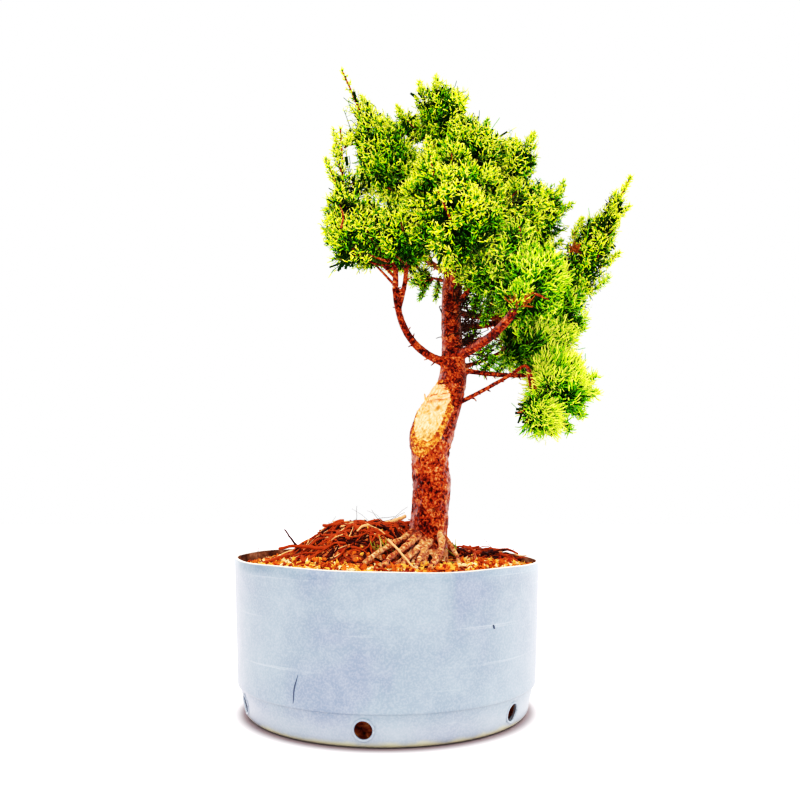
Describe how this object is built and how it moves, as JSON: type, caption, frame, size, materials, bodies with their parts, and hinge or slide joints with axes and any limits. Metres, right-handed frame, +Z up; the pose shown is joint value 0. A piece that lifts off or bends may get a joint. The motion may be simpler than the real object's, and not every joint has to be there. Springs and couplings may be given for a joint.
{
  "type": "potted juniper pre-bonsai",
  "caption": "Juniper pre-bonsai with a leaning trunk, a slanted pruning scar, surface roots and dense needle foliage, standing in a cut-down round plastic pail of soil.",
  "frame": {"origin": "centre of the pail's flat underside", "axes": "+Z up, +X to the right and +Y away from someone who faces the tree's front, where the pruning scar shows"},
  "size_m": [0.4126, 0.3, 0.6731],
  "materials": {
    "pail_plastic": "weathered, scuffed",
    "soil": "rough, crumbly",
    "bark": "flaking bark",
    "foliage": "matte needles"
  },
  "bodies": {
    "root": {"pot": "pail_plastic", "soil": "soil", "trunk": "bark", "bough_left_outer": "bark", "bough_left_inner": "bark", "bough_upper_left": "bark", "bough_shoulder_right": "bark", "bough_right_mid": "bark", "bough_centre_front": "bark", "bough_centre_low": "bark", "bough_centre_right": "bark", "bough_right_front": "bark", "bough_right_far": "bark", "bough_right_lobe": "bark", "bough_right_under": "bark", "bough_right_low": "bark", "bough_low_tuft": "bark", "bough_back_left": "bark", "bough_back_centre": "bark", "bough_back_right": "bark", "bough_back_low": "bark", "foliage_left_outer": "foliage", "foliage_left_inner": "foliage", "foliage_upper_left": "foliage", "foliage_apex": "foliage", "foliage_apex_left": "foliage", "foliage_top_right": "foliage", "foliage_shoulder_right": "foliage", "foliage_right_mid": "foliage", "foliage_centre_front": "foliage", "foliage_centre_low": "foliage", "foliage_centre_right": "foliage", "foliage_right_front": "foliage", "foliage_right_far": "foliage", "foliage_right_lobe": "foliage", "foliage_right_under": "foliage", "foliage_right_low": "foliage", "foliage_low_tuft": "foliage", "foliage_under_left": "foliage", "foliage_back_left": "foliage", "foliage_back_centre": "foliage", "foliage_back_right": "foliage", "foliage_back_low": "foliage"}
  },
  "joints": []
}
